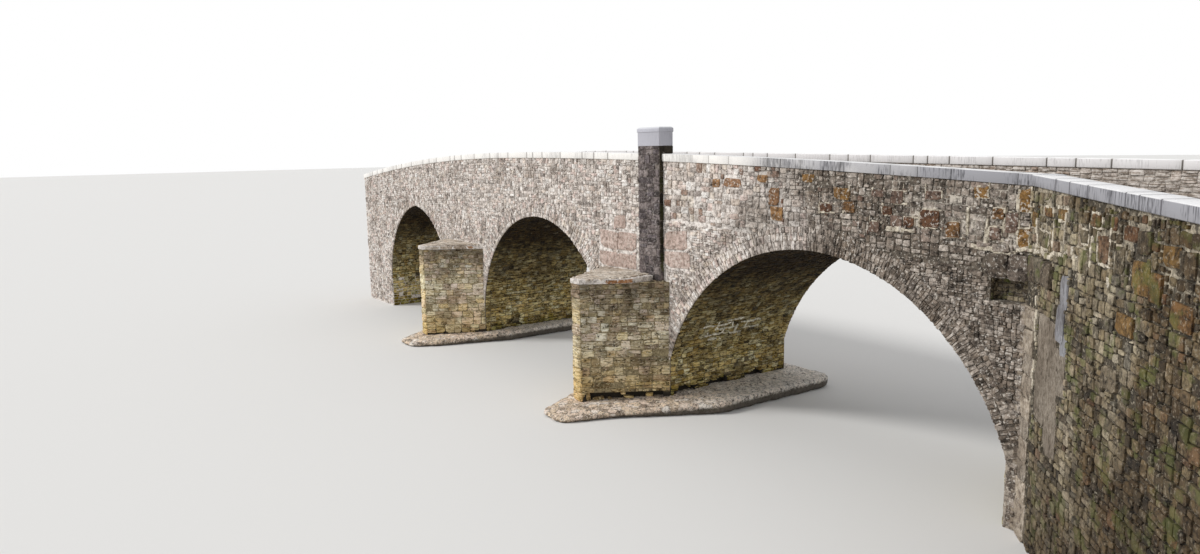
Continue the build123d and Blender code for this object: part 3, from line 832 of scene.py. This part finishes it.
def set_marks(pile, surface, marks, pointing=None, **finish):
    """Sets stones at their measured places, with smears of pale pointing round each if it has a pile."""
    for at, z, wide, high, tone in marks:
        left, right, low, top = at - wide / 2, at + wide / 2, z - high / 2, z + high / 2
        set_stone(pile, surface, left, right, low, top, tone=tone, **finish)
        if pointing is not None:
            smear(pointing, surface, left, right, low, top)


upper_band = 1.85


def above_courses(point):
    return upstream_wall(point) and point.z > coping_level(point.x) - upper_band


def below_courses(point):
    return upstream_wall(point) and point.z <= coping_level(point.x) - upper_band


# Upstream face, in three pieces, and the same wall downstream. The near end has larger stones below its
# coping, over slaty rubble, with pale pointing round the marked ones and wider joints from some way along.
pointed_from, wide_joints_from = 6.8, 7.2
pointing = []
for name, u_low, u_high in (
    ("left", left_end_x, crest_x),
    ("middle", crest_x, pilaster_x),
    ("right", pilaster_x, corner_x),
):
    pile = []
    whole = (u_low, u_high, 0, wall_top)
    if name == "right":
        plain = [mark for mark in marked_stones if mark[0] < pointed_from]
        pointed = [mark for mark in marked_stones if mark[0] > pointed_from]
        set_marks(pile, flat_face, plain, proud=0.02, joint=0.012)
        set_marks(pile, flat_face, pointed, pointing, proud=0.034, joint=0.0)
        set_marks(pile, flat_face, rough_blocks, proud=0.06, joint=0.0, depth=0.24)
        high = {"largest": 0.075, "tones": 0.89, "proud": 0.018, "longest": 1.9, "tilt": 5}
        low = {"largest": 0.024, "tones": 0.8, "proud": 0.024, "joint": 0.012, "longest": 2.4, "tilt": 7}
        near_end = (wide_joints_from, u_high, 0, wall_top)
        fill(pile, upstream_face, (u_low, wide_joints_from, 0, wall_top), above_courses, joint=0.02, **high)
        fill(pile, upstream_face, near_end, above_courses, joint=0.034, lift=(0.18, 0.34), **high)
        fill(pile, upstream_face, whole, below_courses, **low)
    else:
        fill(pile, upstream_face, whole, upstream_wall, 0.045, tones=0.77, proud=0.02, joint=0.02, tilt=5)
    finish_stones("upstream_face_stones_" + name, pile, face_stone)
    pile = []
    patch = (-other_corner_x if name == "right" else -u_high, -u_low, 0, wall_top)
    fill(pile, downstream_face, patch, clear_of_arches, 0.08, tones=0.88, joint=0.02)
    finish_stones("downstream_face_stones_" + name, pile, face_stone)

pile = []
set_marks(pile, flat_face, squared_stones, proud=0.016, joint=0.02)
finish_stones("squared_face_stones", pile, squared_stone)

# Arch rings of thin stones set on edge, and the rough layered stones of the vaults
on_edge = {"largest": 0.034, "longest": 0.62, "lift": (0.15, 0.36), "joint": 0.01, "proud": 0.024, "tilt": 11}
layered = {"proud": 0.016, "joint": 0.016}
inside_faces = (-half_width + 0.02, half_width - 0.02)
for side, (_, _, arcs) in arches.items():
    rings, barrel = [], []
    for arc in arcs:
        surface = ring_surface(arc, -half_width)
        _, _, radius, first, last = arc
        length = radius * (first - last)
        for facing, start, end in ((surface, 0, length), (mirrored(surface), -length, 0)):
            fill(rings, facing, (start, end, 0.0, ring_depth), anywhere, tones=0.8, **on_edge)
        patch = (*inside_faces, 0, length)
        fill(barrel, barrel_surface(arc), patch, anywhere, 0.06, longest=6.0, lift=(0.07, 0.2), **layered)
    finish_stones(side + "_arch_ring_stones", rings, face_stone)
    finish_stones(side + "_vault_stones", barrel, vault_stone)

# Sides of the piers and abutments under the springing, with stones gone from the foot of the near pier
pile = []
gone = ((-2.10, -1.42), (-0.85, -0.17), (0.62, 1.30))
pocket_top = 0.5


def on_pier_side(point):
    """Clear of the apron, and of the three pockets."""
    if not left_abutment_x < point.x < right_abutment_x - 0.1:
        return True
    low_down = point.x > 1 and point.z < pocket_top + ragged(point.y)
    pocket = low_down and any(start + ragged(3 * point.z) < point.y < end for start, end in gone)
    return point.z > apron_level(point.y) - 0.02 and not pocket


pier_sides = [(pier_x + out * half_pier, out) for pier_x in (0, far_pier_x) for out in (1, -1)]
for x, out in pier_sides + [(left_abutment_x, 1), (right_abutment_x, -1)]:
    patch = (*inside_faces, 0, springing)
    side_face = upright(x, 0, out, 0)
    fill(pile, side_face, patch, on_pier_side, 0.07, longest=5.0, lift=(0.1, 0.22), **layered)
finish_stones("pier_side_stones", pile, vault_stone)

# Thin veins of lime that have run out of the joints low in the right vault, on the near pier's side
pile = []
low_barrel = barrel_surface(arches["right"][2][0])
vein = {"proud": 0.05, "depth": 0.05, "tilt": 14}
for across, up, run in (
    (-1.45, 0.98, 1.1), (-1.30, 0.66, 0.8), (-0.95, 0.82, 0.9), (-0.60, 1.12, 0.7), (-0.30, 0.60, 0.5),
    (0.05, 0.95, 0.8), (0.25, 0.72, 0.6), (-1.10, 0.48, 0.5),
):
    row(pile, low_barrel, across, across + run, up, (0.05, 0.16), (0.035, 0.075), **vein)
for across, up in ((-1.2, 0.62), (-0.9, 0.8), (-0.62, 0.7), (-0.3, 0.85), (-0.1, 0.6), (0.3, 0.75)):
    top = up + random.uniform(0.15, 0.35)
    set_stone(pile, low_barrel, across, across + 0.04, up, top, proud=0.045, joint=0, depth=0.05, tilt=20)
finish_stones("lime_veins", pile, vein_mortar)

# Cutwaters: coursed flanks, long worn stones up the nose, and flat slabs on top, the last of them rusty
capping_overhang = 0.04
worn_level = 2.5
foot_level = 0.45
rusty_length, rusty_slab = 0.8, 0.9
large = {"largest": 0.15, "longest": 2.6, "lift": (0.18, 0.34), "joint": 0.016, "proud": 0.02, "gaps": 0.03}
small = {"largest": 0.06, "longest": 3.2, "lift": (0.1, 0.2), "joint": 0.014, "proud": 0.024, "gaps": 0.04}
slab_row = {"proud": 0.01, "tilt": 1}
for name, pier_x, reach in (("near", 0, near_cutwater_reach), ("far", far_pier_x, far_cutwater_reach)):
    pile, slabs = [], []
    front = -half_width - reach
    run = half_pier - cutwater_nose
    flank_length = math.hypot(run, reach)
    for hand in (1, -1):
        out = Vector((hand * reach, -run, 0)).normalized()
        flank = upright(pier_x + hand * cutwater_nose, front, out.x, out.y)

        def on_flank(point):
            low_down = point.z < foot_level + ragged(point.y) and point.y > front + 0.1
            washed_out = name == "near" and hand == 1 and low_down
            return point.z > apron_level(point.y) and not washed_out

        patch = (0, flank_length) if hand == 1 else (-flank_length, 0)
        fill(pile, flank, (*patch, 0.0, worn_level), on_flank, tilt=4, **large)
        fill(pile, flank, (*patch, worn_level, cutwater_top), on_flank, tilt=4, **small)
        edge = upright(pier_x + hand * cutwater_nose + out.x * capping_overhang, front, out.x, out.y)
        if name == "near" and hand == 1:
            stop = (capping_stop - cutwater_nose) * flank_length / run
            start = stop - rusty_length
            patch = (0, start)
            row(slabs, edge, start, stop, cutwater_top, (0.3, 0.5), (0.1, 0.13), tone=rusty_slab, **slab_row)
        row(slabs, edge, *patch, cutwater_top, (0.25, 0.7), (0.1, 0.15), **slab_row)
    nose = upright(pier_x, front, 0, -1)
    z = apron_level(front)
    while z < cutwater_top - 0.05:
        top = min(cutwater_top, z + random.uniform(0.22, 0.42))
        if cutwater_top - top < 0.15:
            top = cutwater_top
        wide = cutwater_nose + random.uniform(0.0, 0.02)
        set_stone(pile, nose, -wide, wide, z, top, proud=0.02, depth=0.3, tone=random.uniform(0.5, 0.9))
        z = top
    finish_stones(name + "_cutwater_stones", pile, river_stone)

    def on_capping(point):
        wide = capping_overhang + cutwater_nose + run * (point.y - front) / reach
        beside_shaft = pilaster_low[0] - 0.02 < point.x < pilaster_high[0] + 0.02
        left_out = name == "near" and point.x > capping_stop - 0.12
        if beside_shaft and point.y > pilaster_low[1] or left_out:
            return False
        return abs(point.x - pier_x) < wide and front < point.y < -half_width

    def capping_surface(u, v):
        return Vector((u, v, cutwater_top + capping_edge + 0.04 * (v - front) / reach))

    patch = (pier_x - half_pier, pier_x + half_pier, front, -half_width)
    broad = {"largest": 0.22, "lift": (0.4, 0.6), "depth": 0.05, "proud": 0.012, "tones": 0.65}
    fill(slabs, capping_surface, patch, on_capping, **broad)
    finish_stones(name + "_capping_slabs", slabs, ledge_stone)

# A few stones left in the washed-out foot of the near cutwater
pile = []
front = -half_width - near_cutwater_reach
run = half_pier - cutwater_nose
out = Vector((near_cutwater_reach, -run, 0)).normalized()
set_back = 0.1
flank = upright(cutwater_nose - out.x * set_back, front - out.y * set_back, out.x, out.y)
for start, wide, high in ((0.3, 0.34, 0.1), (0.74, 0.12, 0.06), (1.2, 0.3, 0.07), (1.85, 0.22, 0.12)):
    foot, tone = apron_level(flank(start, 0).y), random.choice((0, 0.9))
    set_stone(pile, flank, start, start + wide, foot, foot + high, depth=0.16, tone=tone, tilt=9)


def on_bare_top(point):
    """The cutwater's top where its capping is gone."""
    wide = cutwater_nose + run * (point.y - front) / near_cutwater_reach
    shaft = point.x < pilaster_high[0] + 0.02 and point.y > pilaster_low[1] - 0.02
    return capping_stop < point.x < wide and point.y < -half_width and not shaft


def bare_top(u, v):
    return Vector((u, v, cutwater_top))


patch = (capping_stop, half_pier, front, -half_width)
fill(pile, bare_top, patch, on_bare_top, 0.03, proud=0.03, lift=(0.1, 0.2), tones=0.2)
finish_stones("washed_foot_stones", pile, river_stone)

# Pilaster: front, both sides and back
pile = []
half = (pilaster_high[0] - pilaster_low[0]) / 2
front_y, back_y, top_z = pilaster_low[1], pilaster_high[1], pilaster_high[2]
quoins = {"largest": 0.11, "longest": 3.5, "lift": (0.14, 0.30)}
fill(pile, upright(pilaster_x, front_y, 0, -1), (-half, half, cutwater_top, top_z), anywhere, **quoins)
# The sides take the darker moss-stained stone, partly painted shade
shaded = []
for out in (1, -1):
    side_face = upright(pilaster_x + out * half, -half_width, out, 0)
    for reach, low in ((front_y + half_width, cutwater_top), (back_y + half_width, coping_level(pilaster_x))):
        fill(shaded, side_face, (*sorted((out * reach, 0)), low, top_z), anywhere, **quoins)
finish_stones("pilaster_side_stones", shaded, shaded_stone)
back_face = upright(pilaster_x, back_y, 0, 1)
fill(pile, back_face, (-half, half, coping_level(pilaster_x) - parapet_height, top_z), anywhere, **quoins)
finish_stones("pilaster_stones", pile, pilaster_stone)

# Inner faces of the parapets: thin bedded slabs
pile = []
inside_height = parapet_height - coping_thickness


def other_inner_face(u, v):
    """The downstream parapet's, whose coping is on a line of its own."""
    rise = other_level(u) - coping_level(u) + inside_height
    return Vector((u, parapet_y, coping_level(u) - parapet_height + v * rise / inside_height))


def inner_face(u, v):
    """The upstream parapet's, whose v rises from the road and whose u runs the other way."""
    return Vector((-u, -parapet_y, coping_level(-u) - parapet_height + v))


def behind_parapet(point):
    return not (pilaster_low[0] < point.x < pilaster_high[0] and point.y < 0)


thin = {"largest": 0.045, "longest": 5.0, "lift": (0.12, 0.22)}
fill(pile, inner_face, (-corner_x - 0.1, -left_end_x, 0, inside_height), behind_parapet, **thin)
fill(pile, other_inner_face, (left_end_x, other_corner_x + 0.1, 0, inside_height), anywhere, **thin)
finish_stones("parapet_inner_stones", pile, slate_stone)

# Wing walls: blocky rubble in wide joints, over mixed rubble, and the patches of old render upstream
patch_places = (
    (0.70, 2.5, 0.62, 1.1), (0.78, 3.5, 0.52, 0.9), (1.15, 3.0, 0.60, 0.95), (1.25, 3.8, 0.42, 0.55),
    (1.66, 3.2, 0.44, 0.75), (1.30, 2.1, 0.56, 0.95),
)
streak_places = ((1.62, 4.1, 0.36, 0.62), (1.70, 4.6, 0.34, 0.6), (1.80, 3.75, 0.3, 0.5))
band_level = 5.35
quoin_width = 0.62


def on_wing(point):
    distance = (point - wing_origin).dot(wing_direction)
    for at, low, wide, high in patch_places + streak_places:
        if at < distance < at + wide and low < point.z < low + high:
            return False
    beside_quoins = distance < quoin_width and point.z < recess_high[1]
    clear = not beside_quoins and clear_of_marks(distance, point.z, wing_marks + wing_blocks)
    return clear and point.z < wing_top(distance) + 0.001


def other_wing(u, v):
    """The downstream wing wall, whose u runs the other way."""
    return other_wing_origin - other_wing_direction * u + UP * v


def on_other_wing(point):
    distance = (point.x - other_corner_x) / wing_direction.x
    return point.z < wing_top(distance, other_level(other_corner_x))


other_length = wing_length - other_corner_shift / wing_direction.x
pointed_to = 3.6
upper = {"proud": 0.022, "joint": 0.034, "tones": 0.9, "longest": 1.3, "lift": (0.24, 0.46), "tilt": 6}
lower = {"proud": 0.028, "joint": 0.022, "tones": 0.87, "longest": 2.2, "lift": (0.16, 0.42), "tilt": 7}
for name, surface, keep, span in (
    ("upstream", upstream_wing, on_wing, (0, wing_length)),
    ("downstream", other_wing, on_other_wing, (-other_length, 0)),
):
    pile = []
    fill(pile, surface, (*span, band_level, wall_top), keep, 0.12, **upper)
    fill(pile, surface, (*span, 0, band_level), keep, 0.075, **lower)
    if name == "upstream":
        pointed = [mark for mark in wing_marks if mark[0] < pointed_to]
        plain = [mark for mark in wing_marks if mark[0] > pointed_to]
        set_marks(pile, surface, pointed, pointing, proud=0.03, joint=0.02)
        set_marks(pile, surface, plain, proud=0.03, joint=0.02)
        set_marks(pile, surface, wing_blocks, proud=0.055, joint=0.0, depth=0.22)
    finish_stones(name + "_wing_stones", pile, wing_stone)

# The ledge of pale pointing over the rough blocks, round the corner and up the wing wall
ledge = {"proud": 0.03, "joint": -0.01, "tilt": 6}


def face_ledge(u, v):
    return flat_face(u, v + 0.1 * abs(u - 11.4) + 0.7 * ragged(u / 3))


def wing_ledge(u, v):
    return upstream_wing(u, v + 0.09 * u + 0.7 * ragged(u / 3))


row(pointing, face_ledge, 10.7, corner_x, 5.3, (0.12, 0.3), (0.035, 0.09), **ledge)
row(pointing, wing_ledge, 0, 2.5, 5.34, (0.12, 0.3), (0.04, 0.1), **ledge)
row(pointing, flat_face, 8.78, 9.46, 5.56, (0.08, 0.2), (0.05, 0.1), **ledge)
for surface, at, low_z, high_z in (
    (flat_face, 10.62, 5.6, 6.1), (flat_face, 11.02, 5.45, 5.9), (flat_face, 11.36, 5.4, 6.1),
    (flat_face, 11.62, 5.7, 6.4), (upstream_wing, 0.64, 2.7, 4.5), (upstream_wing, 0.45, 5.5, 6.1),
    (upstream_wing, 1.28, 5.6, 6.3), (upstream_wing, 1.85, 5.55, 6.1), (upstream_wing, 2.2, 5.6, 5.9),
    (upstream_wing, 2.95, 5.5, 6.2), (upstream_wing, 3.62, 5.3, 5.7),
):
    z = low_z
    while z < high_z:
        high, wide = random.uniform(0.08, 0.22), random.uniform(0.02, 0.06)
        if random.random() < 0.75:
            set_stone(pointing, surface, at - wide, at + wide / 2, z, z + high, **ledge)
        z += high
finish_stones("pale_pointing", pointing, pale_mortar)

# Dressed quoins up the corner under the recess, and the render
pile = []
z = 0.0
while z < recess_low[1]:
    top = min(recess_low[1] + 0.02, z + random.uniform(0.34, 0.5))
    wide = random.uniform(0.5, quoin_width)
    set_stone(pile, upstream_wing, -0.02, wide, z, top, proud=0.02, joint=0.008, depth=0.16)
    set_stone(pile, flat_face, corner_x - 0.1, corner_x + 0.02, z, top, proud=0.015, joint=0.008, tone=0.9)
    z = top
finish_stones("corner_quoins", pile, quoin_stone)
for name, places, finish in (
    ("old_render_patches", patch_places, old_render),
    ("grey_render_streaks", streak_places, grey_render),
):
    pile = []
    for at, z, wide, high in places:
        set_stone(pile, upstream_wing, at, at + wide, z, z + high, proud=0.014, joint=0, depth=0.05)
    finish_stones(name, pile, finish)

# Moss-grown stones inside the recess, held to the lower tones, partly as painted shade in the hollow
pile = []
(low_x, low_z), (high_x, high_z) = recess_low, recess_high
back_face = upright(0, -half_width + recess_depth, 0, -1)
fill(pile, back_face, (low_x, high_x, low_z, high_z), anywhere, 0.025, tones=0.5, lift=(0.1, 0.18))
end_face = upright(low_x, -half_width, 1, 0)
fill(pile, end_face, (0.02, recess_depth, low_z, high_z), anywhere, 0.02, tones=0.4, lift=(0.1, 0.18))
finish_stones("recess_stones", pile, moss_stone)

# Ends and backs, which hardly show: larger rubble
pile = []
coarse = {"largest": 0.16, "longest": 2.2, "lift": (0.34, 0.55)}
for x, out in ((left_end_x, -1), (right_end_x, 1)):
    patch = (-half_width, half_width, 0, coping_level(x) - parapet_height)
    fill(pile, upright(x, 0, out, 0), patch, anywhere, **coarse)
for start, direction, hand, length, level in (
    (wing_origin, wing_direction, 1, wing_length, wing_level),
    (other_wing_origin, other_wing_direction, -1, other_length, other_level(other_corner_x)),
):
    inward = Vector((-direction.y, direction.x, 0)) * hand
    for back, first, low, drop in (
        (parapet_thickness, 0.3, level - parapet_height, coping_thickness),
        (wing_wall_thickness, 0.75, 0.0, parapet_height + road_thickness),
    ):
        origin = start + inward * back
        wall_back = upright(origin.x, origin.y, inward.x, inward.y)

        def under_fall(point):
            distance = (point - origin).dot(direction)
            return point.z < wing_top(distance, level, drop) + 0.001

        backwards = (wall_back(1, 0) - wall_back(0, 0)).dot(direction) < 0
        span = (-length, -first) if backwards else (first, length)
        fill(pile, wall_back, (*span, low, level - drop), under_fall, **coarse)
        end = start + direction * length + inward * back / 2
        wall_end = upright(end.x, end.y, direction.x, direction.y)
        wide = back / 2 - 0.01
        fill(pile, wall_end, (-wide, wide, low, level - wing_fall - drop), anywhere, **coarse)
finish_stones("end_wall_stones", pile, face_stone)

for stone in list(quarry.objects):
    bpy.data.objects.remove(stone, do_unlink=True)
bpy.data.collections.remove(quarry)


# Dressed stones
def worn_copy(node, name, material, wear, lumps=0):
    """A copy of a CAD node that stands for it, with worn edges, and with lumps of 0.3 m if it is rough."""
    piece = frame["nodes"][node].copy()
    piece.data = piece.data.copy()
    piece.name = name
    piece.parent = None
    piece.matrix_world = Matrix.Identity(4)
    bpy.context.scene.collection.objects.link(piece)
    bpy.ops.object.select_all(action="DESELECT")
    piece.select_set(True)
    bpy.context.view_layer.objects.active = piece
    bpy.ops.object.mode_set(mode="EDIT")
    bpy.ops.mesh.select_all(action="SELECT")
    bpy.ops.mesh.remove_doubles(threshold=0.0005)
    bpy.ops.mesh.dissolve_limited(angle_limit=math.radians(1))
    bpy.ops.mesh.normals_make_consistent(inside=False)
    bpy.ops.object.mode_set(mode="OBJECT")
    bevel = piece.modifiers.new("wear", "BEVEL")
    bevel.width = wear
    bevel.segments = 2
    bevel.limit_method = "ANGLE"
    bevel.angle_limit = math.radians(40)
    bpy.ops.object.modifier_apply(modifier="wear")
    if lumps:
        grid = piece.modifiers.new("grid", "REMESH")
        grid.mode = "VOXEL"
        grid.voxel_size = 0.07
        bpy.ops.object.modifier_apply(modifier="grid")
        clouds = bpy.data.textures.new(name + "_lumps", "CLOUDS")
        clouds.noise_scale = 0.3
        clouds.noise_depth = 6
        rough = piece.modifiers.new("lumps", "DISPLACE")
        rough.texture = clouds
        rough.strength = lumps
        bpy.ops.object.modifier_apply(modifier="lumps")
    bpy.ops.object.shade_smooth_by_angle(angle=math.radians(50))
    piece.data.materials.clear()
    piece.data.materials.append(material)
    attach(piece, "root")
    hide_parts(node)


for node, finish in (
    ("upstream_coping_left", coping_stone),
    ("upstream_coping_right", coping_stone),
    ("downstream_coping", pale_coping_stone),
    ("upstream_wing_coping", wing_coping_stone),
    ("downstream_wing_coping", pale_wing_coping_stone),
):
    worn_copy(node, node + "_stones", finish, wear=0.018)
worn_copy("pilaster_cap", "pilaster_cap_stones", cap_stone, wear=0.012)
for node in ("near_apron", "far_apron"):
    worn_copy(node, node + "_slab", apron_stone, wear=0.05, lumps=0.1)

# Finishes of the CAD nodes
finishes = {"roadway": road_stone, "pilaster": dark_mortar, "downstream_parapet": slate_mortar}
for material, nodes in (
    (vault_mortar, ("right_vault", "middle_vault", "left_vault")),
    (pier_mortar, ("near_pier", "far_pier")),
    (river_mortar, ("near_cutwater", "far_cutwater")),
    (wing_mortar, ("upstream_wing_wall", "upstream_wing_parapet")),
    (pointed_mortar, ("upstream_spandrel_right", "upstream_parapet_right")),
):
    finishes.update(dict.fromkeys(nodes, material))
for node, piece in frame["nodes"].items():
    for slot in piece.material_slots:
        slot.material = finishes.get(node, face_mortar)

# Floor, light and camera
bpy.ops.mesh.primitive_plane_add(size=900, location=(0, 0, 0))
floor = bpy.context.object
floor.name = "studio_floor"
floor_material, tree, _ = start_material("pale_studio_floor")
connect(tree, tree.nodes["Principled BSDF"], {"Base Color": "#DEDCD8", "Roughness": 1.0})
floor.data.materials.append(floor_material)

world = bpy.data.worlds.new("studio")
world.use_nodes = True
bpy.context.scene.world = world
tree = world.node_tree
tree.nodes.clear()
soft = add(tree, "Background", {"Color": "#F4F6FA", "Strength": 0.73})
white = add(tree, "Background", {"Color": "#FFFFFF", "Strength": 1.0})
rays = add(tree, "LightPath").outputs
seen = add(tree, "Math", {0: rays["Is Camera Ray"], 1: rays["Is Glossy Ray"]}, operation="MAXIMUM")
seen = add(tree, "Math", {0: seen, 1: rays["Is Transmission Ray"]}, operation="MAXIMUM")
add(tree, "OutputWorld", {0: add(tree, "MixShader", {0: seen, 1: soft, 2: white})})

key_data = bpy.data.lights.new("key", "SUN")
key_data.energy = 2.05
key_data.angle = math.radians(14)
key = bpy.data.objects.new("key", key_data)
key.rotation_euler = Vector((-0.50, -0.62, 0.60)).to_track_quat("Z", "Y").to_euler()
bpy.context.scene.collection.objects.link(key)

# The photo's camera, fitted to the arches, piers and copings. Heading, dip and roll are in degrees.
eye = (20.090, -17.607, 7.350)
heading, dip, roll = 55.227, 8.431, -1.052
camera_data = bpy.data.cameras.new("camera")
camera_data.lens = 25.686
camera_data.sensor_width = 36
camera_data.clip_end = 2000
camera = bpy.data.objects.new("camera", camera_data)
camera.matrix_world = (
    Matrix.Translation(eye)
    @ Matrix.Rotation(math.radians(heading), 4, "Z")
    @ Matrix.Rotation(math.radians(90 - dip), 4, "X")
    @ Matrix.Rotation(math.radians(roll), 4, "Z")
)
bpy.context.scene.collection.objects.link(camera)
bpy.context.scene.camera = camera
bpy.context.scene.view_settings.view_transform = "Standard"
